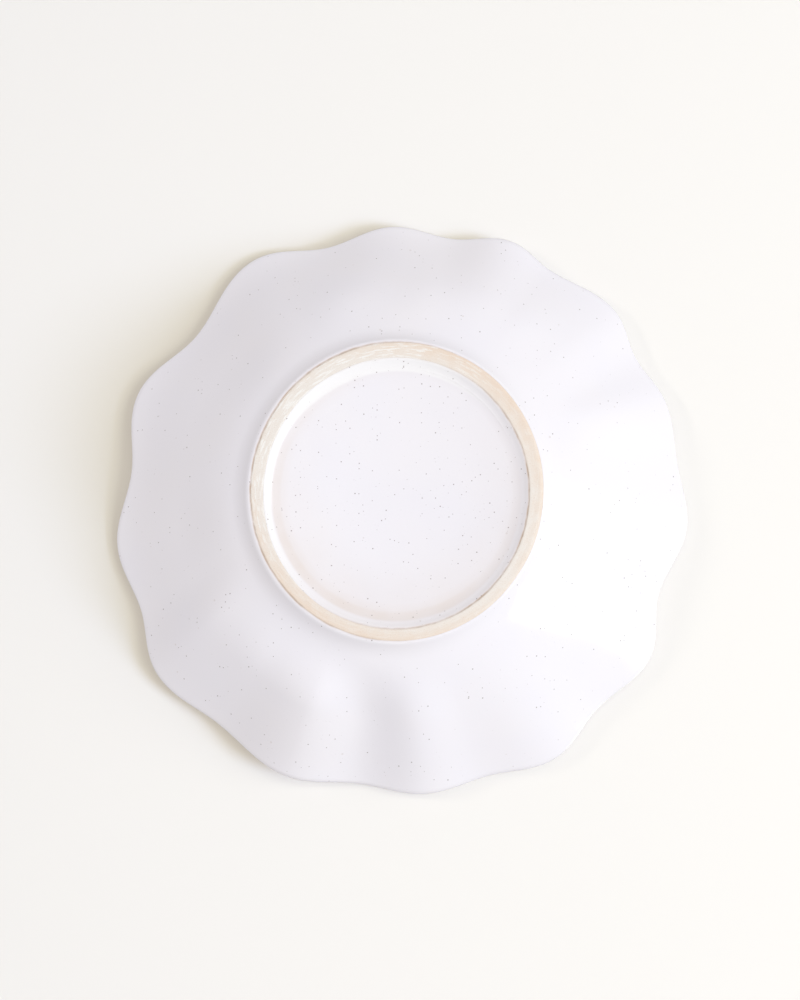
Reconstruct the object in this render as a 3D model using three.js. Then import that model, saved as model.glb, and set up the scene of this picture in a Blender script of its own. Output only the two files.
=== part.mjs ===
// A stoneware pasta plate with a rim of thirteen uneven lobes, upright on its foot ring.
// Millimetres, +Z up. The origin is the centre of the foot ring, on the surface the plate stands on.

import * as THREE from 'three';

// Overall sizes, to the face of the glaze
const RIM_RADIUS = 140; // mean reach of the lip from the centre
const RIM_HEIGHT = 50; // mean height of the lip's crest

// Clay and glaze
const FLOOR_THICKNESS = 6;
const LIP_THICKNESS = 4.6;
const GLAZE_THICKNESS = 0.5;

// Foot ring
const FOOT_RADIUS = 70.4; // outer edge of the bare band, mean of its long and short way
const FOOT_WIDTH = 6.8; // bare band, edge to edge
const FOOT_HEIGHT = 7; // resting plane to the underside of the floor, in its middle
const FOOT_EDGE = 0.8; // rounding of the band's two edges, where the glaze stops
const FOOT_DRAFT = 4.6; // how far the outer wall leans out over its height
const FOOT_FILLET = 4; // blend from the outer wall into the flank
const FILLET_WALL = 0.8; // the most of that wall's height that the blend may take
const FOOT_OVAL = 1.1; // the ring is this much longer along Y and shorter along X, at its radius
const COVE_REACH = 8.5; // hollow blend from the ring's inner wall to the well's panel
const COVE_DRAFT = 4.8; // how far the inner wall leans in over its height
const WELL_DISH = 3; // how much lower the panel is at its edge than in its middle

// Bowl
const SHOULDER_SLOPE = 23; // degrees from level, where the flank leaves the foot
const SHOULDER_PULL = 24; // how far that slope carries into the flank
const LIP_SLOPE = 33; // degrees from level, at the lip
const LIP_PULL = 20;
const FLOOR_SETBACK = 6; // the level floor inside ends this far within the foot's outer edge
const FLOOR_PULL = 24;

// Flutes, which grow from nothing where the flank leaves the foot to the full lobes at the lip
const FLUTE_POWER = 1.2;
const CURL_SHARE = 0.36; // how much of a crest's reach over the deepest valley is the curl of its lip
const CURL_POWER = 11; // how close to the lip it curls
const CURL_SIDE = 235; // degrees, the side of the plate where the lip curls most
const CURL_REST = 0.15; // what is left of the curl on the other side
const CURL_SPREAD = 0.6; // the curl is whole where the cosine from that side is over this
const SWELL_RUN = 30; // how far out from the foot a flute's swell is whole
const SWELL_AT_LIP = 0.4; // what is left of it at the lip
const DIP_POWER = 3; // how close to the lip it dips

// The crests and valleys of the rim's lobes in turn, counter-clockwise from above, starting with a crest.
// Each has its place in degrees from +X, how far the lip stands out there past its mean reach, how far
// the wall swells down below it, and how far the lip itself dips.
const WAVES = [
  { angle: 4, push: 0.8, swell: 0, dip: 0 },
  { angle: 19, push: -6.5, swell: 0, dip: 0 },
  { angle: 33, push: 3, swell: 0, dip: 0 },
  { angle: 46, push: -1.6, swell: 1, dip: 0 },
  { angle: 59, push: 4.8, swell: 0, dip: 0 },
  { angle: 73, push: -1.2, swell: 0, dip: -0.5 },
  { angle: 84.5, push: 1.4, swell: 2.5, dip: 0.5 },
  { angle: 98, push: -2.7, swell: -4, dip: -1 },
  { angle: 113, push: 3.2, swell: 9.5, dip: 1 },
  { angle: 129, push: -1.2, swell: 6.5, dip: -2 },
  { angle: 145, push: 5, swell: 3.5, dip: -2 },
  { angle: 159, push: -2.4, swell: -1.5, dip: -0.5 },
  { angle: 172, push: 1.7, swell: -4, dip: -1 },
  { angle: 187, push: -5.7, swell: -1, dip: 2.5 },
  { angle: 203.5, push: 3.2, swell: -2.5, dip: 0.5 },
  { angle: 220, push: -5.9, swell: -3, dip: 0.5 },
  { angle: 239.5, push: 6.3, swell: -0.5, dip: -2.5 },
  { angle: 255, push: -3.6, swell: 3.5, dip: -2 },
  { angle: 268.5, push: 1.8, swell: 1.5, dip: -0.5 },
  { angle: 280.5, push: -2.2, swell: 3.5, dip: -2.5 },
  { angle: 293, push: 4, swell: 3.5, dip: 0.5 },
  { angle: 303, push: -0.4, swell: 3, dip: 0 },
  { angle: 317, push: 4.5, swell: 0, dip: 0 },
  { angle: 329, push: -2.4, swell: 0, dip: 0 },
  { angle: 339, push: 0.4, swell: 2, dip: 0 },
  { angle: 352, push: -2.3, swell: 0, dip: 0 },
];

// Facets along each curve
const LOBE_STEPS = 3; // from a crest to a valley
const FLANK_STEPS = 5;
const BLEND_STEPS = 2;
const PANEL_STEPS = 3;
const COVE_STEPS = 3;
const LIP_STEPS = 3;

// Finishes
const GLAZE_WHITE = { color: '#efecf1', roughness: 0.16, metalness: 0 };
const BARE_CLAY = { color: '#e9d9c9', roughness: 0.85, metalness: 0 };

const radians = THREE.MathUtils.degToRad;
const lerp = THREE.MathUtils.lerp;
const QUAD_CORNERS = 6; // a four-sided facet is two triangles of three corners

// A point of the section: x is the distance from the axis, y the height.
function at(radius, height) {
  return new THREE.Vector2(radius, height);
}

// A unit direction in the section, by its angle from level.
function heading(angle) {
  return at(Math.cos(angle), Math.sin(angle));
}

function moved(point, direction, distance) {
  return point.clone().addScaledVector(direction, distance);
}

// Stations along a curve of the section. Each keeps its point on the clay and its point on the glaze,
// which lies to the right of the way that the curve runs.
function trace(curve, steps) {
  const stations = [];
  for (let step = 0; step <= steps; step += 1) {
    const clay = curve.getPoint(step / steps);
    const along = curve.getTangent(step / steps);
    const glaze = moved(clay, at(along.y, -along.x), GLAZE_THICKNESS);
    stations.push({ clay, glaze });
  }
  return stations;
}

// Curves that follow on from each other share the station where they meet.
function joined(...runs) {
  return runs.flatMap((run, index) => (index === 0 ? run : run.slice(1)));
}

// The section of the plate
const shoulder = heading(radians(SHOULDER_SLOPE));
const flare = heading(radians(LIP_SLOPE));
const outward = at(flare.y, -flare.x);
const level = at(1, 0);

const footInner = FOOT_RADIUS - FOOT_WIDTH;
const wallFoot = at(FOOT_RADIUS, FOOT_EDGE);
const flankStart = at(FOOT_RADIUS + FOOT_DRAFT + FOOT_FILLET, FOOT_HEIGHT);
const filletCorner = moved(flankStart, shoulder, -FOOT_FILLET / shoulder.x);
const filletRun = Math.min(FOOT_FILLET, FILLET_WALL * filletCorner.distanceTo(wallFoot));
const wallUp = filletCorner.clone().sub(wallFoot).normalize();
const wallTop = moved(filletCorner, wallUp, -filletRun);

const lipRadius = LIP_THICKNESS / 2;
const lipCentre = at(
  RIM_RADIUS - GLAZE_THICKNESS - lipRadius,
  RIM_HEIGHT - GLAZE_THICKNESS - lipRadius,
);
const flankEnd = moved(lipCentre, outward, lipRadius);
const bowlStart = moved(lipCentre, outward, -lipRadius);
const floorEdge = at(FOOT_RADIUS - FLOOR_SETBACK, FOOT_HEIGHT + FLOOR_THICKNESS);
const floorCentre = at(0, floorEdge.y);

const wall = new THREE.LineCurve(wallFoot, wallTop);
const fillet = new THREE.QuadraticBezierCurve(wallTop, filletCorner, flankStart);
const flank = new THREE.CubicBezierCurve(
  flankStart,
  moved(flankStart, shoulder, SHOULDER_PULL),
  moved(flankEnd, flare, -LIP_PULL),
  flankEnd,
);
const bowl = new THREE.CubicBezierCurve(
  bowlStart,
  moved(bowlStart, flare, -LIP_PULL),
  moved(floorEdge, level, FLOOR_PULL),
  floorEdge,
);
const floor = new THREE.LineCurve(floorEdge, floorCentre);

// An arc of the rounded lip, between two angles from level.
function lipArc(from, to) {
  return new THREE.EllipseCurve(lipCentre.x, lipCentre.y, lipRadius, lipRadius, from, to, false);
}

const lipFrom = radians(LIP_SLOPE - 90);
const lipTop = Math.PI / 2;
const lipTo = radians(LIP_SLOPE + 90);

const footWall = joined(trace(wall, 1), trace(fillet, BLEND_STEPS));
const outside = joined(trace(flank, FLANK_STEPS), trace(lipArc(lipFrom, lipTop), LIP_STEPS));
const lipCrest = outside.slice(-1);
const inside = joined(lipCrest, trace(lipArc(lipTop, lipTo), 1), trace(bowl, FLANK_STEPS), trace(floor, 1));

// The well under the floor, from its centre to the bare band
const panelEdge = at(footInner - COVE_REACH, FOOT_HEIGHT - WELL_DISH);
const panelBend = at(panelEdge.x / 2, FOOT_HEIGHT);
const dishAway = panelEdge.clone().sub(panelBend);
const coveCorner = moved(panelEdge, dishAway, (COVE_REACH - COVE_DRAFT) / dishAway.x);
const bandInner = at(footInner, FOOT_EDGE);
const panel = new THREE.QuadraticBezierCurve(at(0, FOOT_HEIGHT), panelBend, panelEdge);
const cove = new THREE.QuadraticBezierCurve(panelEdge, coveCorner, bandInner);
const underFloor = trace(panel, PANEL_STEPS);
const coveUp = trace(cove, COVE_STEPS);
const well = joined(underFloor, coveUp);

const clayOf = (stations) => stations.map((station) => station.clay);
const glazeOf = (stations) => stations.map((station) => station.glaze);

// The reach that the curl of the lip is measured from
const DEEPEST_VALLEY = Math.min(...WAVES.map((wave) => wave.push));

// How much the lip curls on one side of the plate.
function curlShare(angle) {
  const towards = Math.cos(angle - radians(CURL_SIDE));
  return CURL_SHARE * lerp(CURL_REST, 1, THREE.MathUtils.smoothstep(towards, 0, CURL_SPREAD));
}

// The direction, outward push, curl, swell and dip of a flute, part way along the run of half waves.
function fluteAt(turn) {
  const wave = Math.floor(turn);
  const from = WAVES[wave % WAVES.length];
  const to = WAVES[(wave + 1) % WAVES.length];
  const share = turn - wave;
  const span = THREE.MathUtils.euclideanModulo(to.angle - from.angle, 360);
  const ease = (1 - Math.cos(Math.PI * share)) / 2;
  const angle = radians(from.angle + span * share);
  const push = lerp(from.push, to.push, ease);
  return {
    angle,
    push,
    curl: curlShare(angle) * (push - DEEPEST_VALLEY),
    swell: lerp(from.swell, to.swell, ease),
    dip: lerp(from.dip, to.dip, ease),
  };
}

// How far a place on the wall is from where the flank leaves the foot, as a share of the way to the lip.
function wallShare(radius) {
  return Math.max(0, (radius - flankStart.x) / (RIM_RADIUS - flankStart.x));
}

// How much of a flute's swell a place on the wall has.
function swellShare(radius) {
  const grown = THREE.MathUtils.smoothstep(radius - flankStart.x, 0, SWELL_RUN);
  return grown * (1 - (1 - SWELL_AT_LIP) * wallShare(radius) ** 2);
}

// The oval grows from the axis to the foot, and dies away from there to the lip.
function ovalShare(radius) {
  const fade = (RIM_RADIUS - radius) / (RIM_RADIUS - FOOT_RADIUS);
  return Math.min(radius / FOOT_RADIUS, Math.max(0, fade));
}

// A section turned about the axis and drawn out into the lobes.
function turned(section) {
  const segments = WAVES.length * LOBE_STEPS;
  const geometry = new THREE.LatheGeometry(section, segments);
  const position = geometry.getAttribute('position');
  for (let index = 0; index < position.count; index += 1) {
    const segment = Math.floor(index / section.length);
    const { x: radius, y: height } = section[index % section.length];
    const { angle, push, curl, swell, dip } = fluteAt((segment % segments) / LOBE_STEPS);
    const share = wallShare(radius);
    const flute = (push - curl) * share ** FLUTE_POWER + curl * share ** CURL_POWER;
    const reach = radius + flute - FOOT_OVAL * ovalShare(radius) * Math.cos(2 * angle);
    const sunk = height - swell * swellShare(radius) - dip * share ** DIP_POWER;
    position.setXYZ(index, reach * Math.cos(angle), reach * Math.sin(angle), sunk);
  }
  geometry.computeVertexNormals();
  return geometry;
}

// Cuts the facets of some strips of a turned section along their other diagonal, so that a section that
// runs back along another one has the same facets.
function recut(geometry, section, fromStrip, toStrip) {
  const index = geometry.getIndex();
  const strips = section.length - 1;
  for (let first = 0; first < index.count; first += QUAD_CORNERS) {
    const strip = (first / QUAD_CORNERS) % strips;
    if (strip >= fromStrip && strip < toStrip) {
      const [a, b, d, c] = index.array.slice(first, first + 4);
      index.set([a, b, c, c, d, a], first);
    }
  }
  geometry.computeVertexNormals();
  return geometry;
}

// Turns all faces of a geometry round.
function flipped(geometry) {
  const index = geometry.getIndex();
  index.array.reverse();
  geometry.computeVertexNormals();
  return geometry;
}

// A coat of glaze runs along the clay the same way as the clay's own section, so that both have the
// same facets. Its face runs back, and is recut to lie evenly over the clay.
function turnedCoat(section, faceStart) {
  const faceEnd = faceStart + Math.floor(section.length / 2) - 1;
  return flipped(recut(turned(section), section, faceStart, faceEnd));
}

const plate = new THREE.Group();

function add(name, geometry, finish) {
  const mesh = new THREE.Mesh(geometry, new THREE.MeshStandardMaterial(finish));
  mesh.name = name;
  plate.add(mesh);
}

// Thrown body, with a plain seat underneath where the foot ring is luted on
const bodySection = [...clayOf(underFloor), ...clayOf(joined(outside, inside))];
add('clay_body', turned(bodySection), BARE_CLAY);

// Foot ring, bare on the band that the plate stands on
const bandFrom = at(footInner + FOOT_EDGE, 0);
const bandTo = at(FOOT_RADIUS - FOOT_EDGE, 0);
const ringSection = [bandFrom, bandTo, ...clayOf(footWall), ...clayOf(coveUp), bandFrom];
const seatFrom = ringSection.indexOf(footWall[footWall.length - 1].clay);
add('foot_ring', recut(turned(ringSection), ringSection, seatFrom, seatFrom + 1), BARE_CLAY);

// Glaze on the food side, from the centre of the floor to the crest of the lip
const insideSection = [...glazeOf(inside).reverse(), ...clayOf(inside)];
add('inside_glaze', turnedCoat(insideSection, 0), GLAZE_WHITE);

// Glaze on the underside, from the foot's bare band to the crest of the lip
const under = joined(footWall, outside);
const outsideSection = [...clayOf(under), ...glazeOf(under).reverse(), under[0].clay];
add('outside_glaze', turnedCoat(outsideSection, under.length), GLAZE_WHITE);

// Glaze in the well inside the foot ring
const wellSection = [...clayOf(well), ...glazeOf(well).reverse()];
add('foot_well_glaze', turnedCoat(wellSection, well.length), GLAZE_WHITE);

export default plate;
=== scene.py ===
# A stoneware pasta plate with a rim of thirteen uneven lobes, in fine meshes with procedural finishes.
# Metres, in the frame of the solids: +Z up out of the bowl, the origin under the middle of the foot ring.

import math
from collections import namedtuple

import bmesh
import bpy
import numpy as np
from mathutils import Matrix, Vector, noise


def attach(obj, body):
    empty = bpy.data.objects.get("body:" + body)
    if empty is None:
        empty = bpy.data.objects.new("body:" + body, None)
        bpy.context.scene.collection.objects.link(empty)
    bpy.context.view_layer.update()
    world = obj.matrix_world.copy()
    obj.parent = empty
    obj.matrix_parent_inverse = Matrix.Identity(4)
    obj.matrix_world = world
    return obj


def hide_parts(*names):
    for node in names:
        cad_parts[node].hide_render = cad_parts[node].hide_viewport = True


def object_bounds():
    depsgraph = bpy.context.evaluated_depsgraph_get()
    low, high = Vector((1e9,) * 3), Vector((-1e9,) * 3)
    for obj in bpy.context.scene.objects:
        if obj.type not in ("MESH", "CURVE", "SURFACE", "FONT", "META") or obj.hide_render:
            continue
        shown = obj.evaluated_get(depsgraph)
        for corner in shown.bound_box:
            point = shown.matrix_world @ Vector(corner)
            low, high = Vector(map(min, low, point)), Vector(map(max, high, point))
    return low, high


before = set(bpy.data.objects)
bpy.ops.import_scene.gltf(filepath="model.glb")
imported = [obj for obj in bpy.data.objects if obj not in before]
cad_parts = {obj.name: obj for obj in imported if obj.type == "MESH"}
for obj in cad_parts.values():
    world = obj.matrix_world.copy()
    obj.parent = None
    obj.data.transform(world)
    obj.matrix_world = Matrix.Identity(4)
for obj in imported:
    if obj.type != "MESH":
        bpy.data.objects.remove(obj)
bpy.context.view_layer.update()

# Overall sizes, to the face of the glaze
RIM_RADIUS = 0.140
RIM_HEIGHT = 0.050

# Clay and glaze
FLOOR_THICKNESS = 0.006
LIP_THICKNESS = 0.0046
GLAZE_THICKNESS = 0.0005

# Foot ring
FOOT_RADIUS = 0.0704
FOOT_WIDTH = 0.0068
FOOT_HEIGHT = 0.007
FOOT_DRAFT = 0.0046
FOOT_FILLET = 0.004
FILLET_WALL = 0.8
FOOT_OVAL = 0.0011
WALL_SLOPE = 49
COVE_SLOPE = 42
COVE_REACH = 0.0085
WELL_DISH = 0.0034
WELL_SHIFT = (0.0005, 0.0010)  # the well is turned this far off the middle
FLAT_OUTER = 0.0688  # the level part of the bare band, between its rounded edges
FLAT_INNER = 0.0644
OUTER_ROUND = 0.0035
INNER_ROUND = 0.002

# Bowl
SHOULDER_SLOPE = 23
SHOULDER_PULL = 0.024
LIP_SLOPE = 33
LIP_PULL = 0.020
FLOOR_SETBACK = 0.006
FLOOR_PULL = 0.024

# Flutes, which grow from nothing where the flank leaves the foot to the full lobes at the lip. Here and
# below, a side of the plate is its direction in degrees from +X, and the two cosines from it between
# which a soft mask fades in.
FLUTE_POWER = 1.2
CURL_SHARE = 0.36  # how much of a crest's reach over the deepest valley is the curl of its lip
CURL_POWER = 11
CURL_SIDE = (235, 0.0, 0.6)  # where the lip curls most
CURL_REST = 0.15  # what is left of the curl on the other side
SWELL_RUN = 0.030  # how far out from the foot a flute's swell is whole
SWELL_AT_LIP = 0.4  # what is left of it at the lip
DIP_POWER = 3

# Lobes of the rim: the place of a crest, how far the lip stands out there, how far the flank swells
# down below it, how far the lip itself dips, and the same for the valley after it. Places are degrees
# from +X towards +Y.
LOBES = [
    ((4, 0.0008, 0.0, 0.0), (19, -0.0065, 0.0, 0.0)),
    ((33, 0.0030, 0.0, 0.0), (46, -0.0016, 0.0010, 0.0)),
    ((59, 0.0048, 0.0, 0.0), (73, -0.0012, 0.0, -0.0005)),
    ((84.5, 0.0014, 0.0025, 0.0005), (98, -0.0027, -0.0040, -0.0010)),
    ((113, 0.0032, 0.0095, 0.0010), (129, -0.0012, 0.0065, -0.0020)),
    ((145, 0.0050, 0.0035, -0.0020), (159, -0.0024, -0.0015, -0.0005)),
    ((172, 0.0017, -0.0040, -0.0010), (187, -0.0057, -0.0010, 0.0025)),
    ((203.5, 0.0032, -0.0025, 0.0005), (220, -0.0059, -0.0030, 0.0005)),
    ((239.5, 0.0063, -0.0005, -0.0025), (255, -0.0036, 0.0035, -0.0020)),
    ((268.5, 0.0018, 0.0015, -0.0005), (280.5, -0.0022, 0.0035, -0.0025)),
    ((293, 0.0040, 0.0035, 0.0005), (303, -0.0004, 0.0030, 0.0)),
    ((317, 0.0045, 0.0, 0.0), (329, -0.0024, 0.0, 0.0)),
    ((339, 0.0004, 0.0020, 0.0), (352, -0.0023, 0.0, 0.0)),
]

# Stations of the fine meshes
WAVE_STEPS = 16
FLANK_STEPS = 48
BLEND_STEPS = 12
WALL_STEPS = 6
COVE_STEPS = 40
LIP_STEPS = 10
FLAT_STEPS = 14
EDGE_STEPS = 10
SHARP_EDGE = 50  # degrees between two faces, from where the edge between them is sharp

# Hand-made unevenness
GLAZE_WAVE = 0.00012
GLAZE_WAVE_SCALE = 26.0
BAND_WAVE = 0.00012
BAND_WAVE_SCALE = 150.0
GLAZE_START = 0.0700  # where the outside glaze ends on the band's outer edge, nearer the middle at -X
GLAZE_LEAN = 0.0008
WELL_GLAZE_END = 0.0636
WIPE_SWING = 0.0002
WIPE_SCALE = 3.0
GLAZE_TAPER = 0.7  # how much thinner the glaze is at its edge
TAPER_WIDTH = 0.0006
RIDGE_HEIGHT = 0.15  # a drip line inside the ring, as a share of the glaze
RIDGE_RADIUS = 0.0595
RIDGE_WIDTH = 0.0004
RIDGE_SIDE = (305, 0.85, 0.97)

# Looks of the glaze. Scales are to the metre, and depths are the most that a look covers.
GLAZE_SHADES = ((0.864, 0.849, 0.914), (0.876, 0.857, 0.910))
CLOUD_SCALE = 22.0
# Painted shade: the warm darker band beside the cove and at the panel's edge is partly the glaze's blush
# and partly shade painted where the ring wall shades the well.
BLUSH_AND_SHADE_COLOUR = (0.765, 0.68, 0.635)
BLUSH_AND_SHADE_SCALE = 60.0
BLUSH_AND_SHADE_LEAST = 0.6
# Painted light: the whiter glaze in the cove is partly pooled glaze and partly light painted on the cove's
# lit side.
POOL_AND_LIGHT_COLOUR = (0.93, 0.925, 0.945)
# Brown where the glaze is thin at its edges, and painted contact shadow where the lip line is darkened on
# one side.
THIN_GLAZE_AND_SHADOW_COLOUR = (0.50, 0.36, 0.26)
THIN_GLAZE_AND_SHADOW_SCALE = 140.0
THIN_GLAZE_AND_SHADOW_LEAST = 0.35
FAINT_SHADE = (0.45, 0.36, 0.30)
FAINT_SPECKS = dict(scale=150.0, smallest=0.04, largest=0.11, share=0.5)
FAINT_DEPTH = 0.22
DARK_SHADE = (0.22, 0.18, 0.17)
DARK_SPECKS = dict(scale=470.0, smallest=0.08, largest=0.19)
DARK_DEPTH = 0.7
FEWEST_SPECKS = 0.4  # share of the dark specks that is left where they are fewest
FOOD_SIDE_FLECK = 0.3
PEEL_SCALE = 420.0
PEEL_STRENGTH = 0.05
PEEL_DEPTH = 0.0004
GLOSS_SCALE = 90.0
GLAZE_ROUGHNESS = (0.08, 0.15)
GLAZE_IOR = 1.5

# Where the glaze is thin, where it blushes over the clay and where it pools. The band beside the cove is
# partly a warm blush and partly painted shade, the pooled glaze in the cove is partly painted light on its
# lit side, and the lip line carries a painted contact shadow on one side. Values that turn round the plate
# are their mean, their swing and the direction of their most in degrees.
THIN_WIDTH = 0.0005
LIP_LINE_BACK = 0.0034  # from the lip's crest
LIP_LINE_WIDTH = 0.0007
LIP_LINE_DEPTH = 0.06
# Painted contact shadow: the lip line is darkened this much more on one side, for the shadow where the lip
# meets the table.
LIP_SHADOW_EXTRA = 0.34
LIP_SHADOW_SIDE = (140, 0.6, 0.95)
# Painted shade: the band beside the cove and the panel's edge, darker and warmer most to one side.
BLUSH_AND_SHADE_START = (0.0535, 0.0570)
BLUSH_AND_SHADE_END = (0.0592, 0.0608)
BLUSH_AND_SHADE_TURN = (0.42, 0.34, 120)
PANEL_BLUSH_AND_SHADE_START = (0.028, 0.054)
PANEL_BLUSH_AND_SHADE_TURN = (0.14, 0.10, 100)
# Painted light: the pooled glaze is whiter, and reaches further, on the side of the cove that catches the
# light.
POOL_AND_LIGHT_START = 0.0598
POOL_AND_LIGHT_SHIFT = 0.0028
POOL_AND_LIGHT_SHIFT_SIDE = (270, 0.3, 0.95)
POOL_AND_LIGHT_RUN = 0.0015
POOL_AND_LIGHT_DEPTH = 0.8
POOL_AND_LIGHT_SIDE = (225, -0.3, 0.6)
FAR_REST = 0.2  # what is left of a look on the side away from its own

# Looks of the bare clay
PALE_CLAY = (0.845, 0.797, 0.755)
TOASTED_CLAY = (0.815, 0.69, 0.59)
TOAST_SCALE = 160.0
TOAST_SWING = 0.2
TOAST_TURN = (0.45, 0.3, 125)  # twice round the ring
TOAST_ACROSS = 0.7
HIDDEN_TOAST = 0.5
PALE_SIDE = (215, 0, 1)
PALE_SHARE = 0.25
WASH_SHADE = (0.92, 0.905, 0.888)
WASH_SIDE = (228, -0.1, 0.9)
STREAKS_ACROSS = 1100.0  # to the metre
STREAKS_ROUND = 9.0  # to the radian
STREAK_EDGE = (0.5, 0.62)
GRAIN_SHADE = (0.66, 0.52, 0.42)
GRAIN_SCALE = 1800.0
GRAIN_SPAN = (0.5, 0.8)
GRAIN_DEPTH = 0.4
GRAIN_STRENGTH = 0.35
GRAIN_HEIGHT = 0.0003
EDGE_SHADE = (0.34, 0.25, 0.18)
EDGE_SCALE = 220.0
EDGE_LEAST = 0.4
EDGE_DEPTH = 0.7
EDGE_WIDTH = 0.0004
INNER_LINE_SIDE = (20, -0.2, 1.0)
INNER_LINE_GAP = (180, 0.3, 0.8)
OUTER_LINE_SIDE = (190, -0.6, 0.7)
CLAY_ROUGHNESS = 0.8

# Camera of the photograph
CAMERA_DISTANCE = 1.0
CAMERA_TARGET = (0.0, -0.00265, 0.048)
CAMERA_LEAN = (0.0505, 0.1562)  # radians off the axis, towards +X and +Y
CAMERA_LENS = 73.0
SENSOR = 36.0

# Light: a wide window and a soft ceiling, each by its height in degrees over level, and an even room
LAMP_DISTANCE = 2.2
WINDOW_AZIMUTH = 12
WINDOW_HEIGHT = 36
WINDOW_SIZE = (1.69, 1.69)
WINDOW_POWER = 22.4
WINDOW_COLOUR = (0.94, 1.0, 1.0)
CEILING_HEIGHT = 88
CEILING_SIZE = (2.0, 2.0)
CEILING_POWER = 14.2
CEILING_COLOUR = (0.97, 0.98, 1.0)
OVER_SHARE = 0.7  # the lamps over the plate against those under it
ROOM_COLOUR = (1.0, 0.96, 0.93)
ROOM_STRENGTH = 0.605
BACKDROP = (0.93, 0.915, 0.89)
FLOOR_COLOUR = (0.91, 0.895, 0.875)

# The table's own light, which falls on nothing else: blue daylight low over the plate, which leaves a
# warm shadow, and a little light from the other side
TABLE_COLOUR = (0.645, 0.604, 0.524)
DAYLIGHT = dict(azimuth=20, height=-27.5, spread=17, strength=3.02, tint=(0.40, 0.54, 1.0))
COUNTER_LIGHT = dict(azimuth=195, height=-33, spread=8, strength=0.45, tint=(1.0, 1.0, 1.0))
STAGE_SIZE = 6.0
STAGE_FADE = (0.6, 2.4)  # from here to here the stage fades into the backdrop
STAGE_GAP = 0.0002
STAGE_SCALE = 3.0
STAGE_MOTTLE = 0.99

Run = namedtuple("Run", "points normals")


def heading(degrees):
    """A unit direction in the section, by its angle from level."""
    return np.array([math.cos(math.radians(degrees)), math.sin(math.radians(degrees))])


def bezier(controls, spots):
    """Points of a curve of the section, and the glaze's side of it, at shares of its length."""
    share = spots[..., None]
    rows = [np.broadcast_to(np.asarray(control), spots.shape + (2,)) for control in controls]
    while len(rows) > 2:
        rows = [a * (1 - share) + b * share for a, b in zip(rows, rows[1:])]
    along = rows[1] - rows[0]
    along = along / np.linalg.norm(along, axis=-1, keepdims=True)
    return Run(rows[0] * (1 - share) + rows[1] * share, np.stack([along[..., 1], -along[..., 0]], -1))


def arc(centre, radius, start, end, steps):
    """A round stretch of the section, between two angles from level."""
    angles = np.radians(start + (end - start) * np.linspace(0, 1, steps + 1)[:, None])
    normals = np.stack([np.cos(angles), np.sin(angles)], -1)
    return Run(np.asarray(centre) + radius * normals, normals)


def meet(first, along, second, back):
    """Where two straight lines of the section meet, each by a point and a direction."""
    share = np.linalg.solve(np.stack([along, -back], -1), second - first)
    return first + along * share[0]


def shares(steps, start=0.0, end=1.0):
    """Even shares of a run for every column, between ends that may differ from column to column."""
    even = np.linspace(0, 1, steps + 1)[:, None]
    return np.broadcast_to(start + (end - start) * even, (steps + 1, COLUMNS))


def joined(*runs):
    """Runs that follow on from each other, with one station where they meet."""
    wide = [[np.broadcast_to(part, (len(part), COLUMNS, 2)) for part in run] for run in runs]
    points = [run[0] if index == 0 else run[0][1:] for index, run in enumerate(wide)]
    normals = [run[1] if index == 0 else run[1][1:] for index, run in enumerate(wide)]
    return Run(np.concatenate(points), np.concatenate(normals))


def lip_columns():
    """Angle, push, swell and dip of the lip at each column, in even steps along the half waves."""
    marks = np.array([mark for lobe in LOBES for mark in lobe])
    after = np.roll(marks, -1, axis=0)
    share = np.arange(WAVE_STEPS) / WAVE_STEPS
    span = (after[:, 0] - marks[:, 0]) % 360
    ease = (1 - np.cos(np.pi * share)) / 2
    angle = np.radians(marks[:, 0, None] + span[:, None] * share)
    eased = marks[:, 1:, None] + (after - marks)[:, 1:, None] * ease
    push, swell, dip = (eased[:, index].ravel() for index in range(3))
    return angle.ravel(), push, swell, dip


ANGLE, PUSH, SWELL, DIP = lip_columns()
COLUMNS = len(ANGLE)


def smooth(value, low, high):
    """A soft step from 0 at low to 1 at high."""
    share = np.clip((value - low) / (high - low), 0, 1)
    return share * share * (3 - 2 * share)


def side(degrees, low, high):
    """A soft mask over the columns: whole towards one side of the plate, gone towards the other."""
    return smooth(np.cos(ANGLE - math.radians(degrees)), low, high)


def lasting(rest, where):
    """Such a mask with a rest of it left on the far side."""
    return rest + (1 - rest) * side(*where)


def turning(mean, swing, azimuth, times=1):
    """A value that swings about its mean, once or more round the plate."""
    return mean + swing * np.cos(times * (ANGLE - math.radians(azimuth)))


def line(value, middle, width):
    """A soft line where a value is near its middle."""
    return np.exp(-((value - middle) / width) ** 2)


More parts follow.
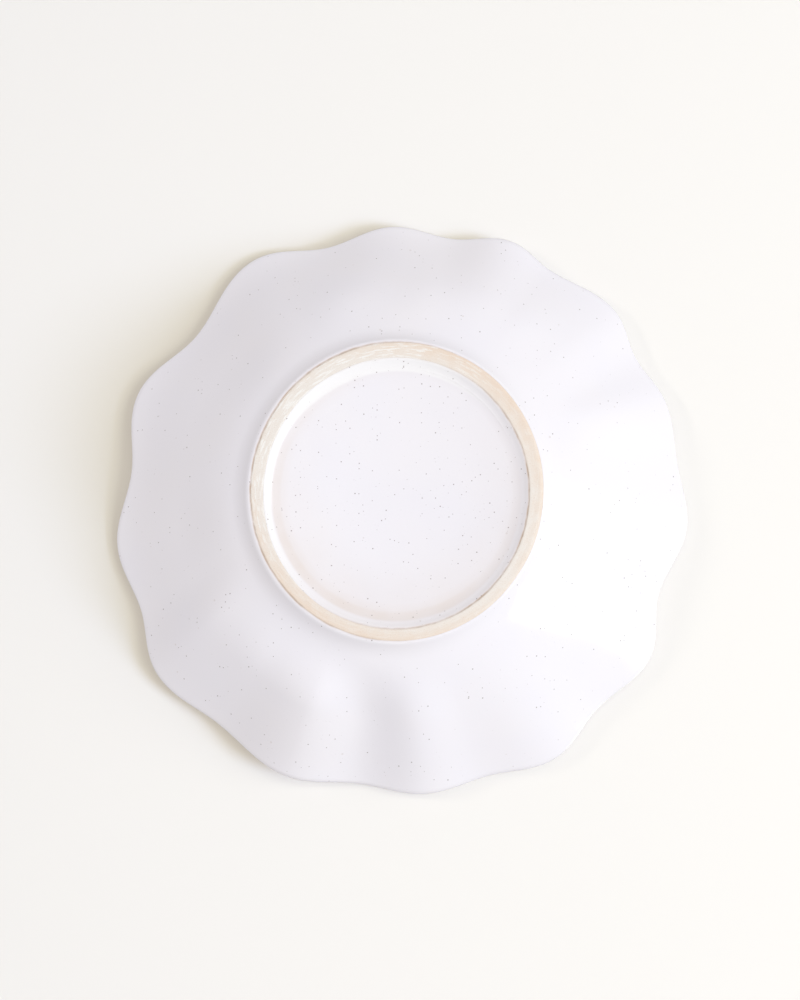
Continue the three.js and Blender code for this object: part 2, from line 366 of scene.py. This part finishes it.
def place(section, under_foot=False):
    """Turns points of the section about the axis and draws them out into the lobes."""
    radius, height = section[..., 0], section[..., 1]
    share = np.maximum(0, (radius - flank_start[0]) / (RIM_RADIUS - flank_start[0]))
    curl = CURL_SHARE * lasting(CURL_REST, CURL_SIDE) * (PUSH - PUSH.min())
    flute = (PUSH - curl) * share ** FLUTE_POWER + curl * share ** CURL_POWER
    grown = smooth(radius, flank_start[0], flank_start[0] + SWELL_RUN)
    swell = SWELL * grown * (1 - (1 - SWELL_AT_LIP) * share ** 2) + DIP * share ** DIP_POWER
    fade = np.clip((RIM_RADIUS - radius) / (RIM_RADIUS - FOOT_RADIUS), 0, None)
    oval = FOOT_OVAL * np.minimum(radius / FOOT_RADIUS, fade) * np.cos(2 * ANGLE)
    reach = radius + flute - oval
    x, y = reach * np.cos(ANGLE), reach * np.sin(ANGLE)
    if under_foot:
        shift = smooth(radius, 0, FOOT_INNER) * (1 - smooth(radius, FOOT_INNER, FOOT_RADIUS))
        x, y = x + WELL_SHIFT[0] * shift, y + WELL_SHIFT[1] * shift
    return np.stack([x, y, np.broadcast_to(height - swell, x.shape)], -1)


def waves(points, scale):
    """Soft uneven waves over a surface, the same on every run."""
    flat = points.reshape(-1, 3) * scale
    return np.array([noise.noise(Vector(point)) for point in flat]).reshape(points.shape[:-1])


# The section of the plate
FOOT_INNER = FOOT_RADIUS - FOOT_WIDTH
PANEL_EDGE = FOOT_INNER - COVE_REACH
shoulder = heading(SHOULDER_SLOPE)
flare = heading(LIP_SLOPE)
outward = np.array([flare[1], -flare[0]])
outer_centre = np.array([FLAT_OUTER, OUTER_ROUND])
inner_centre = np.array([FLAT_INNER, INNER_ROUND])
wall_foot = outer_centre + OUTER_ROUND * heading(WALL_SLOPE - 90)
cove_end = inner_centre + INNER_ROUND * heading(270 - COVE_SLOPE)
flank_start = np.array([FOOT_RADIUS + FOOT_DRAFT + FOOT_FILLET, FOOT_HEIGHT])
wall_up = heading(WALL_SLOPE)
fillet_corner = meet(wall_foot, wall_up, flank_start, shoulder)
fillet_run = min(FOOT_FILLET, FILLET_WALL * np.linalg.norm(fillet_corner - wall_foot))
wall_top = fillet_corner - wall_up * fillet_run
lip_radius = LIP_THICKNESS / 2
lip_centre = np.array([RIM_RADIUS, RIM_HEIGHT]) - GLAZE_THICKNESS - lip_radius
flank_end = lip_centre + outward * lip_radius
bowl_start = lip_centre - outward * lip_radius
floor_edge = np.array([FOOT_RADIUS - FLOOR_SETBACK, FOOT_HEIGHT + FLOOR_THICKNESS])
floor_inner = np.array([FOOT_RADIUS / FLAT_STEPS, floor_edge[1]])
panel_edge = np.array([PANEL_EDGE, FOOT_HEIGHT - WELL_DISH])
panel_middle = np.array([PANEL_EDGE / 2, FOOT_HEIGHT])
panel_inner = np.array([0.0, FOOT_HEIGHT])
cove_corner = meet(panel_edge, panel_edge - panel_middle, cove_end, heading(-COVE_SLOPE))

# The edges of the glaze beside the bare band, a little uneven
round_the_axis = np.stack([np.cos(ANGLE), np.sin(ANGLE), np.zeros(COLUMNS)], -1)
wiped = WIPE_SWING * waves(round_the_axis, WIPE_SCALE)
glaze_start = GLAZE_START + GLAZE_LEAN * np.cos(ANGLE) + wiped
well_glaze_end = WELL_GLAZE_END + wiped
start_angle = np.degrees(np.arcsin((glaze_start - FLAT_OUTER) / OUTER_ROUND)) - 90
end_angle = 270 - np.degrees(np.arcsin((FLAT_INNER - well_glaze_end) / INNER_ROUND))

outer_edge = arc(outer_centre, OUTER_ROUND, -90, WALL_SLOPE - 90, EDGE_STEPS)
coated_outer_edge = arc(outer_centre, OUTER_ROUND, start_angle, WALL_SLOPE - 90, EDGE_STEPS)
inner_edge = arc(inner_centre, INNER_ROUND, 270 - COVE_SLOPE, 270, EDGE_STEPS)
coated_inner_edge = arc(inner_centre, INNER_ROUND, 270 - COVE_SLOPE, end_angle, EDGE_STEPS)
band = bezier([(FLAT_INNER, 0), (FLAT_OUTER, 0)], shares(FLAT_STEPS))
wall = bezier([wall_foot, wall_top], shares(WALL_STEPS))
fillet = bezier([wall_top, fillet_corner, flank_start], shares(BLEND_STEPS))
flank = bezier(
    [flank_start, flank_start + shoulder * SHOULDER_PULL, flank_end - flare * LIP_PULL, flank_end],
    shares(FLANK_STEPS),
)
lip_under = arc(lip_centre, lip_radius, LIP_SLOPE - 90, 90, LIP_STEPS)
lip_over = arc(lip_centre, lip_radius, 90, LIP_SLOPE + 90, EDGE_STEPS)
bowl = bezier(
    [bowl_start, bowl_start - flare * LIP_PULL, floor_edge + np.array([FLOOR_PULL, 0]), floor_edge],
    shares(FLANK_STEPS),
)
floor = bezier([floor_edge, floor_inner], shares(FLAT_STEPS))
panel = bezier([panel_inner, panel_middle, panel_edge], shares(FLAT_STEPS, start=1 / FLAT_STEPS))
cove = bezier([panel_edge, cove_corner, cove_end], shares(COVE_STEPS))
seat = bezier([panel_edge, flank_start], shares(1))


def length_along(run):
    """Distance along a run of the section, from its first station."""
    step = np.linalg.norm(np.diff(run.points, axis=0), axis=-1)
    return np.concatenate([np.zeros((1, COLUMNS)), np.cumsum(step, axis=0)])


def turned_mesh(name, grid, values, closed=False, poles=()):
    """A mesh of rings of columns. It closes on itself, or at a pole before the first and last ring."""
    rings = len(grid)
    points = [*grid.reshape(-1, 3), *poles]
    faces = []
    for ring in range(rings if closed else rings - 1):
        here = ring * COLUMNS
        there = (ring + 1) % rings * COLUMNS
        for column in range(COLUMNS):
            beside = (column + 1) % COLUMNS
            faces.append((here + column, here + beside, there + beside, there + column))
    for pole, ring in zip(range(len(poles)), (0, rings - 1)):
        tip = rings * COLUMNS + pole
        for column in range(COLUMNS):
            beside = (column + 1) % COLUMNS
            faces.append((tip, ring * COLUMNS + beside, ring * COLUMNS + column))
    mesh = bpy.data.meshes.new(name)
    mesh.from_pydata([tuple(point) for point in points], [], faces)
    work = bmesh.new()
    work.from_mesh(mesh)
    bmesh.ops.recalc_face_normals(work, faces=work.faces)
    work.to_mesh(mesh)
    work.free()
    for label, value in values.items():
        flat = np.broadcast_to(value, (rings, COLUMNS)).ravel()
        ends = [value[0].mean(), value[-1].mean()][: len(poles)]
        mesh.attributes.new(label, "FLOAT", "POINT").data.foreach_set("value", np.concatenate([flat, ends]))
    mesh.polygons.foreach_set("use_smooth", np.ones(len(mesh.polygons), dtype=bool))
    mesh.set_sharp_from_angle(angle=math.radians(SHARP_EDGE))
    piece = bpy.data.objects.new(name, mesh)
    bpy.context.scene.collection.objects.link(piece)
    return piece


def finished(piece, node, material):
    """A piece that stands for one of the solids, with its finish."""
    piece.data.materials.append(material)
    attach(piece, "root")
    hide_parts(node)


def glaze_face(run, build_up, under_foot=False):
    """The face of a coat, which lies over the clay and waves a little."""
    clay = place(run.points, under_foot)
    swell = build_up * (GLAZE_THICKNESS + GLAZE_WAVE * waves(clay, GLAZE_WAVE_SCALE))
    return place(run.points + run.normals * swell[..., None], under_foot)


class Tree:
    """A material's nodes, made and linked by short calls."""

    def __init__(self, name):
        self.material = bpy.data.materials.new(name)
        self.material.use_nodes = True
        self.nodes = self.material.node_tree.nodes
        self.links = self.material.node_tree.links
        self.nodes.clear()

    def add(self, kind, settings=None, **inputs):
        """A node with its settings and inputs, which are values or other nodes' outputs. An input goes by
        its name, or by its number after a low line."""
        made = self.nodes.new(kind)
        for key, value in (settings or {}).items():
            setattr(made, key, value)
        for key, value in inputs.items():
            socket = made.inputs[int(key[1:])] if key[1:].isdigit() else made.inputs[key.replace("_", " ")]
            if isinstance(value, bpy.types.NodeSocket):
                self.links.new(value, socket)
            else:
                socket.default_value = value
        return made

    def math(self, operation, first, second=0.0, clamp=False):
        """One sum on numbers."""
        settings = {"operation": operation, "use_clamp": clamp}
        return self.add("ShaderNodeMath", settings, _0=first, _1=second).outputs[0]

    def ramp(self, value, low, high, start=0.0, end=1.0):
        """A soft change from start to end as a value goes from low to high."""
        made = self.add(
            "ShaderNodeMapRange", {"interpolation_type": "SMOOTHSTEP"},
            _0=value, _1=low, _2=high, _3=start, _4=end,
        )
        return made.outputs[0]

    def mix(self, share, first, second):
        """One colour over another."""
        made = self.add("ShaderNodeMix", {"data_type": "RGBA"}, _0=share, _6=first, _7=second)
        return made.outputs[2]

    def noise(self, where, scale, detail=2.0, roughness=0.5):
        """Cloudy noise around 0.5."""
        made = self.add("ShaderNodeTexNoise", Vector=where, Scale=scale, Detail=detail, Roughness=roughness)
        return made.outputs[0]

    def uneven(self, where, scale, spread, start=0.0, end=1.0, detail=2.0, roughness=0.5):
        """Cloudy noise as a soft change from start to end, over a spread on either side of 0.5."""
        cloudy = self.noise(where, scale, detail, roughness)
        return self.ramp(cloudy, 0.5 - spread, 0.5 + spread, start, end)

    def attribute(self, name):
        """A value kept on the mesh's points."""
        made = self.add("ShaderNodeAttribute")
        made.attribute_name = name
        return made.outputs["Fac"]

    def specks(self, where, scale, smallest, largest, share):
        """Round specks, most of them small, as a mask; sizes are in the pattern's own cells."""
        cells = self.add("ShaderNodeTexVoronoi", Vector=where, Scale=scale)
        parts = self.add("ShaderNodeSeparateColor", Color=cells.outputs["Color"])
        small = self.math("MULTIPLY", parts.outputs[0], parts.outputs[0])
        size = self.ramp(small, 0.0, 1.0, smallest, largest)
        inside = self.math("SUBTRACT", size, cells.outputs["Distance"])
        kept = self.math("LESS_THAN", parts.outputs[1], share)
        return self.math("MULTIPLY", self.ramp(inside, 0.0, smallest), kept)

    def surface(self, shader):
        """The material's output."""
        self.add("ShaderNodeOutputMaterial", Surface=shader)
        return self.material


def colour(red, green, blue):
    """A colour as a node takes it, with nothing see-through."""
    return (red, green, blue, 1.0)


def speckled_glaze():
    """Glossy white glaze with a lavender cast, brown specks, buff clay showing where it is thin, and
    painted light and shade: shade in a warm band beside the cove, light on the cove's lit side and a
    contact shadow at the lip.
    """
    tree = Tree("speckled_white_glaze")
    where = tree.add("ShaderNodeTexCoord").outputs["Object"]
    clouds = tree.uneven(where, CLOUD_SCALE, 0.2)
    base = tree.mix(clouds, *(colour(*shade) for shade in GLAZE_SHADES))
    # Painted shade: a warm, darker band beside the cove and at the panel's edge, partly the glaze's blush.
    patchy = tree.uneven(where, BLUSH_AND_SHADE_SCALE, 0.3, start=BLUSH_AND_SHADE_LEAST)
    blush_and_shade = tree.math("MULTIPLY", tree.attribute("blush_and_shade"), patchy)
    base = tree.mix(blush_and_shade, base, colour(*BLUSH_AND_SHADE_COLOUR))
    # Painted light: whiter glaze in the cove, partly pooled glaze and partly light on its lit side.
    base = tree.mix(tree.attribute("pool_and_light"), base, colour(*POOL_AND_LIGHT_COLOUR))
    # Brown where the glaze is thin, with a painted contact shadow at the lip.
    ragged = tree.uneven(where, THIN_GLAZE_AND_SHADOW_SCALE, 0.2, start=THIN_GLAZE_AND_SHADOW_LEAST, detail=3.0)
    thin_glaze_and_shadow = tree.math("MULTIPLY", tree.attribute("thin_glaze_and_shadow"), ragged)
    base = tree.mix(thin_glaze_and_shadow, base, colour(*THIN_GLAZE_AND_SHADOW_COLOUR))
    faint = tree.math("MULTIPLY", tree.specks(where, **FAINT_SPECKS), FAINT_DEPTH)
    base = tree.mix(faint, base, colour(*FAINT_SHADE))
    share = tree.ramp(tree.attribute("fleck"), 0.0, 1.0, FEWEST_SPECKS, 1.0)
    dark = tree.math("MULTIPLY", tree.specks(where, share=share, **DARK_SPECKS), DARK_DEPTH)
    base = tree.mix(dark, base, colour(*DARK_SHADE))
    peel = tree.noise(where, PEEL_SCALE, detail=1.0)
    bump = tree.add("ShaderNodeBump", Strength=PEEL_STRENGTH, Distance=PEEL_DEPTH, Height=peel)
    least, most = GLAZE_ROUGHNESS
    rough = tree.uneven(where, GLOSS_SCALE, 0.25, start=least, end=most)
    shader = tree.add(
        "ShaderNodeBsdfPrincipled",
        Base_Color=base, Roughness=rough, IOR=GLAZE_IOR, Normal=bump.outputs[0],
    )
    return tree.surface(shader.outputs[0])


def bare_clay():
    """Fired buff clay, washed with glaze in pale streaks along the ring and toasted at its edges."""
    tree = Tree("bare_buff_clay")
    where = tree.add("ShaderNodeTexCoord").outputs["Object"]
    parts = tree.add("ShaderNodeSeparateXYZ", Vector=where)
    flat = tree.add("ShaderNodeCombineXYZ", X=parts.outputs[0], Y=parts.outputs[1])
    reach = tree.add("ShaderNodeVectorMath", {"operation": "LENGTH"}, _0=flat.outputs[0]).outputs["Value"]
    turn = tree.math("ARCTAN2", parts.outputs[1], parts.outputs[0])
    round_the_ring = tree.add(
        "ShaderNodeCombineXYZ",
        X=tree.math("MULTIPLY", reach, STREAKS_ACROSS),
        Y=tree.math("MULTIPLY", tree.math("SINE", turn), STREAKS_ROUND),
        Z=tree.math("MULTIPLY", tree.math("COSINE", turn), STREAKS_ROUND),
    ).outputs[0]
    patchy = tree.uneven(
        where, TOAST_SCALE, 0.25, start=-TOAST_SWING, end=TOAST_SWING, detail=4.0, roughness=0.6,
    )
    toast = tree.math("ADD", tree.attribute("toast"), patchy, clamp=True)
    base = tree.mix(toast, colour(*PALE_CLAY), colour(*TOASTED_CLAY))
    streaks = tree.ramp(tree.noise(round_the_ring, 1.0, detail=3.0, roughness=0.6), *STREAK_EDGE)
    wash = tree.math("MULTIPLY", streaks, tree.attribute("wash"))
    base = tree.mix(wash, base, colour(*WASH_SHADE))
    grain = tree.noise(where, GRAIN_SCALE)
    base = tree.mix(tree.ramp(grain, *GRAIN_SPAN, 0.0, GRAIN_DEPTH), base, colour(*GRAIN_SHADE))
    ragged = tree.uneven(where, EDGE_SCALE, 0.2, start=EDGE_LEAST, detail=3.0)
    edge = tree.math("MULTIPLY", tree.attribute("edge"), ragged)
    base = tree.mix(edge, base, colour(*EDGE_SHADE))
    bump = tree.add("ShaderNodeBump", Strength=GRAIN_STRENGTH, Distance=GRAIN_HEIGHT, Height=grain)
    shader = tree.add(
        "ShaderNodeBsdfPrincipled", Base_Color=base, Roughness=CLAY_ROUGHNESS, Normal=bump.outputs[0],
    )
    return tree.surface(shader.outputs[0])


def stage_material(name, shade):
    """A matt finish that shows from its front only, so that the plate can be seen from behind it, and
    that fades out far from the plate."""
    tree = Tree(name)
    where = tree.add("ShaderNodeTexCoord").outputs["Object"]
    darker = colour(*(STAGE_MOTTLE * part for part in shade))
    tint = tree.mix(tree.noise(where, STAGE_SCALE), colour(*shade), darker)
    matt = tree.add("ShaderNodeBsdfDiffuse", Color=tint)
    clear = tree.add("ShaderNodeBsdfTransparent")
    behind = tree.add("ShaderNodeNewGeometry").outputs["Backfacing"]
    reach = tree.add("ShaderNodeVectorMath", {"operation": "LENGTH"}, _0=where).outputs["Value"]
    gone = tree.math("MAXIMUM", behind, tree.ramp(reach, *STAGE_FADE))
    shader = tree.add("ShaderNodeMixShader", _0=gone, _1=matt.outputs[0], _2=clear.outputs[0])
    return tree.surface(shader.outputs[0])


def stage_sheet(name, height, faces_up, shade):
    """A wide level sheet that takes the plate's shadow and hides nothing from the lamps."""
    half = STAGE_SIZE / 2
    corners = [(-half, -half, height), (half, -half, height), (half, half, height), (-half, half, height)]
    mesh = bpy.data.meshes.new(name)
    mesh.from_pydata(corners if faces_up else corners[::-1], [], [(0, 1, 2, 3)])
    sheet = bpy.data.objects.new(name, mesh)
    bpy.context.scene.collection.objects.link(sheet)
    mesh.materials.append(stage_material(name, shade))
    sheet.visible_diffuse = False
    sheet.visible_glossy = False
    sheet.visible_transmission = False
    sheet.visible_shadow = False
    return sheet


def facing(back, up_hint, position):
    """The matrix of a camera or lamp at a place, looking against the back direction."""
    back = Vector(back).normalized()
    right = Vector(up_hint).cross(back).normalized()
    up = back.cross(right)
    turned = Matrix((right, up, back)).transposed()
    return Matrix.Translation(position) @ turned.to_4x4()


def add_camera():
    """The photograph's view, from under the foot."""
    lean_x, lean_y = math.sin(CAMERA_LEAN[0]), math.sin(CAMERA_LEAN[1])
    back = Vector((lean_x, lean_y, -math.sqrt(1 - lean_x ** 2 - lean_y ** 2)))
    data = bpy.data.cameras.new("photo_camera")
    data.lens = CAMERA_LENS
    data.sensor_width = SENSOR
    camera = bpy.data.objects.new("photo_camera", data)
    camera.matrix_world = facing(back, (0, -1, 0), Vector(CAMERA_TARGET) + back * CAMERA_DISTANCE)
    bpy.context.scene.collection.objects.link(camera)
    bpy.context.scene.camera = camera


def direction(azimuth, height):
    """A unit direction away from the plate, in degrees from +X and from level."""
    rise, turn = math.radians(height), math.radians(azimuth)
    return Vector((math.cos(rise) * math.cos(turn), math.cos(rise) * math.sin(turn), math.sin(rise)))


def add_lamp(name, azimuth, height, size, power, tint):
    """A soft lamp, turned to the plate."""
    back = direction(azimuth, height)
    data = bpy.data.lights.new(name, "AREA")
    data.shape = "RECTANGLE"
    data.size, data.size_y = size
    data.energy = power
    data.color = tint
    lamp = bpy.data.objects.new(name, data)
    lamp.matrix_world = facing(back, (0, 0, 1), back * LAMP_DISTANCE)
    lamp.visible_camera = False
    bpy.context.scene.collection.objects.link(lamp)
    return lamp


def add_light():
    """The window and the ceiling, under the plate for the photograph's view and over it for the others."""
    for level, sign, share in (("under", -1, 1.0), ("over", 1, OVER_SHARE)):
        add_lamp(
            "window_" + level, WINDOW_AZIMUTH, sign * WINDOW_HEIGHT, WINDOW_SIZE,
            share * WINDOW_POWER, WINDOW_COLOUR,
        )
        ceiling = add_lamp(
            "ceiling_" + level, 0, sign * CEILING_HEIGHT, CEILING_SIZE,
            share * CEILING_POWER, CEILING_COLOUR,
        )
        ceiling.visible_glossy = False


def add_table_light(name, receivers, azimuth, height, spread, strength, tint):
    """Even light from far off, by its direction and spread in degrees, on chosen things alone."""
    back = direction(azimuth, height)
    data = bpy.data.lights.new(name, "SUN")
    data.angle = math.radians(spread)
    data.energy = strength
    data.color = tint
    lamp = bpy.data.objects.new(name, data)
    lamp.matrix_world = facing(back, (0, 0, 1), back * LAMP_DISTANCE)
    lamp.light_linking.receiver_collection = receivers
    bpy.context.scene.collection.objects.link(lamp)


def add_room():
    """Even light from the whole room, and a pale backdrop."""
    world = bpy.data.worlds.new("pale_room")
    bpy.context.scene.world = world
    world.use_nodes = True
    nodes, links = world.node_tree.nodes, world.node_tree.links
    nodes.clear()
    light = nodes.new("ShaderNodeBackground")
    light.inputs["Color"].default_value = colour(*ROOM_COLOUR)
    light.inputs["Strength"].default_value = ROOM_STRENGTH
    shown = nodes.new("ShaderNodeBackground")
    shown.inputs["Color"].default_value = colour(*BACKDROP)
    path = nodes.new("ShaderNodeLightPath")
    seen = path.outputs["Is Camera Ray"]
    for ray in ("Is Glossy Ray", "Is Transmission Ray"):
        either = nodes.new("ShaderNodeMath")
        either.operation = "MAXIMUM"
        links.new(seen, either.inputs[0])
        links.new(path.outputs[ray], either.inputs[1])
        seen = either.outputs[0]
    blend = nodes.new("ShaderNodeMixShader")
    output = nodes.new("ShaderNodeOutputWorld")
    links.new(seen, blend.inputs[0])
    links.new(light.outputs[0], blend.inputs[1])
    links.new(shown.outputs[0], blend.inputs[2])
    links.new(blend.outputs[0], output.inputs[0])


def build_plate():
    """The five pieces, each over the solid that it stands for."""
    glaze = speckled_glaze()
    clay = bare_clay()

    body = joined(panel, seat, flank, lip_under, lip_over, bowl, floor)
    grid = place(body.points)
    blank = np.zeros((len(grid), COLUMNS))
    plain = {"toast": blank + HIDDEN_TOAST, "wash": blank, "edge": blank}
    poles = ((0, 0, FOOT_HEIGHT), (0, 0, floor_edge[1]))
    finished(turned_mesh("plate_clay", grid, plain, poles=poles), "clay_body", clay)

    ring = joined(inner_edge, band, outer_edge, wall, fillet)
    points = np.concatenate([ring.points, cove.points[:-1]])
    grid = place(points, under_foot=True)
    wear = np.maximum(0, waves(grid, BAND_WAVE_SCALE)) * BAND_WAVE
    grid[..., 2] += np.where(points[..., 1] < BAND_WAVE, wear, 0)
    reach = points[..., 0]
    across = (reach - FOOT_INNER) / FOOT_WIDTH
    toast = turning(*TOAST_TURN, times=2) - PALE_SHARE * side(*PALE_SIDE) + TOAST_ACROSS * (across - 0.5)
    wash = lasting(FAR_REST, WASH_SIDE) * np.ones_like(reach)
    inner_line = lasting(FAR_REST, INNER_LINE_SIDE) * (1 - side(*INNER_LINE_GAP))
    outer_line = side(*OUTER_LINE_SIDE)
    rim_in = EDGE_DEPTH * line(reach, well_glaze_end, EDGE_WIDTH) * inner_line
    rim_out = EDGE_DEPTH * line(reach, glaze_start, EDGE_WIDTH) * outer_line
    values = {"toast": toast, "wash": wash, "edge": np.maximum(rim_in, rim_out)}
    finished(turned_mesh("foot_ring_clay", grid, values, closed=True), "foot_ring", clay)

    def coat(name, node, run, build_up, marks, poles=None, under_foot=False):
        """A coat of glaze, closed on its clay."""
        face = glaze_face(run, build_up, under_foot)
        back = place(run.points, under_foot)[::-1]
        values = {}
        for label in ("thin_glaze_and_shadow", "blush_and_shade", "pool_and_light", "fleck"):
            value = np.broadcast_to(marks.get(label, 0.0), face.shape[:2])
            values[label] = np.concatenate([value, value[::-1]])
        whole = np.concatenate([face, back])
        made = turned_mesh(name, whole, values, closed=poles is None, poles=poles or ())
        finished(made, node, glaze)

    under = joined(coated_outer_edge, wall, fillet, flank, lip_under)
    along = length_along(under)
    left = along[-1] - along
    # Painted contact shadow: the faint lip line is darker on one side, where the lip meets the table.
    lip_line_and_shadow_depth = LIP_LINE_DEPTH + LIP_SHADOW_EXTRA * side(*LIP_SHADOW_SIDE)
    lip_line_and_shadow = line(left, LIP_LINE_BACK, LIP_LINE_WIDTH) * lip_line_and_shadow_depth
    thin_glaze_and_shadow = line(along, 0, THIN_WIDTH) * outer_line + lip_line_and_shadow
    build_up = 1 - GLAZE_TAPER * line(along, 0, TAPER_WIDTH)
    coat("underside_glaze", "outside_glaze", under, build_up, {"thin_glaze_and_shadow": thin_glaze_and_shadow})

    lip_first = joined(lip_over, bowl, floor)
    over = Run(lip_first.points[::-1], lip_first.normals[::-1])
    even = np.ones(over.points.shape[:2])
    poles = ((0, 0, floor_edge[1] + GLAZE_THICKNESS), (0, 0, floor_edge[1]))
    coat("food_side_glaze", "inside_glaze", over, even, {"fleck": FOOD_SIDE_FLECK}, poles)

    well = joined(panel, cove, coated_inner_edge)
    along = length_along(well)
    left = along[-1] - along
    reach = well.points[..., 0]
    thin_glaze_and_shadow = line(left, 0, THIN_WIDTH) * inner_line
    # Painted shade: a warm darker band beside the cove and at the panel's edge, most to one side; partly
    # the glaze's blush.
    blush_and_shade_band = smooth(reach, *BLUSH_AND_SHADE_START) * (1 - smooth(reach, *BLUSH_AND_SHADE_END))
    panel_blush_and_shade_band = smooth(reach, *PANEL_BLUSH_AND_SHADE_START) * (1 - blush_and_shade_band)
    blush_and_shade = turning(*BLUSH_AND_SHADE_TURN) * blush_and_shade_band + turning(*PANEL_BLUSH_AND_SHADE_TURN) * panel_blush_and_shade_band
    # Painted light: the pooled glaze in the cove is whiter and wider most on its lit side.
    pool_and_light_start = POOL_AND_LIGHT_START - POOL_AND_LIGHT_SHIFT * side(*POOL_AND_LIGHT_SHIFT_SIDE)
    pool_and_light_band = smooth(reach, pool_and_light_start, pool_and_light_start + POOL_AND_LIGHT_RUN)
    pool_and_light = POOL_AND_LIGHT_DEPTH * pool_and_light_band * lasting(FAR_REST, POOL_AND_LIGHT_SIDE)
    ridge = RIDGE_HEIGHT * line(reach, RIDGE_RADIUS, RIDGE_WIDTH) * side(*RIDGE_SIDE)
    build_up = 1 - GLAZE_TAPER * line(left, 0, TAPER_WIDTH) + ridge
    marks = {"thin_glaze_and_shadow": thin_glaze_and_shadow, "blush_and_shade": blush_and_shade, "pool_and_light": pool_and_light, "fleck": 1.0}
    poles = ((0, 0, FOOT_HEIGHT - GLAZE_THICKNESS), (0, 0, FOOT_HEIGHT))
    coat("well_glaze", "foot_well_glaze", well, build_up, marks, poles, under_foot=True)


build_plate()
rim_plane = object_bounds()[1].z + STAGE_GAP
table = stage_sheet("table_under_rim", rim_plane, False, TABLE_COLOUR)
stage_sheet("floor_under_foot", -STAGE_GAP, True, FLOOR_COLOUR)
table_alone = bpy.data.collections.new("table_alone")
table_alone.objects.link(table)
add_camera()
add_light()
add_table_light("daylight_on_table", table_alone, **DAYLIGHT)
add_table_light("counter_light_on_table", table_alone, **COUNTER_LIGHT)
add_room()
bpy.context.scene.view_settings.view_transform = "Standard"
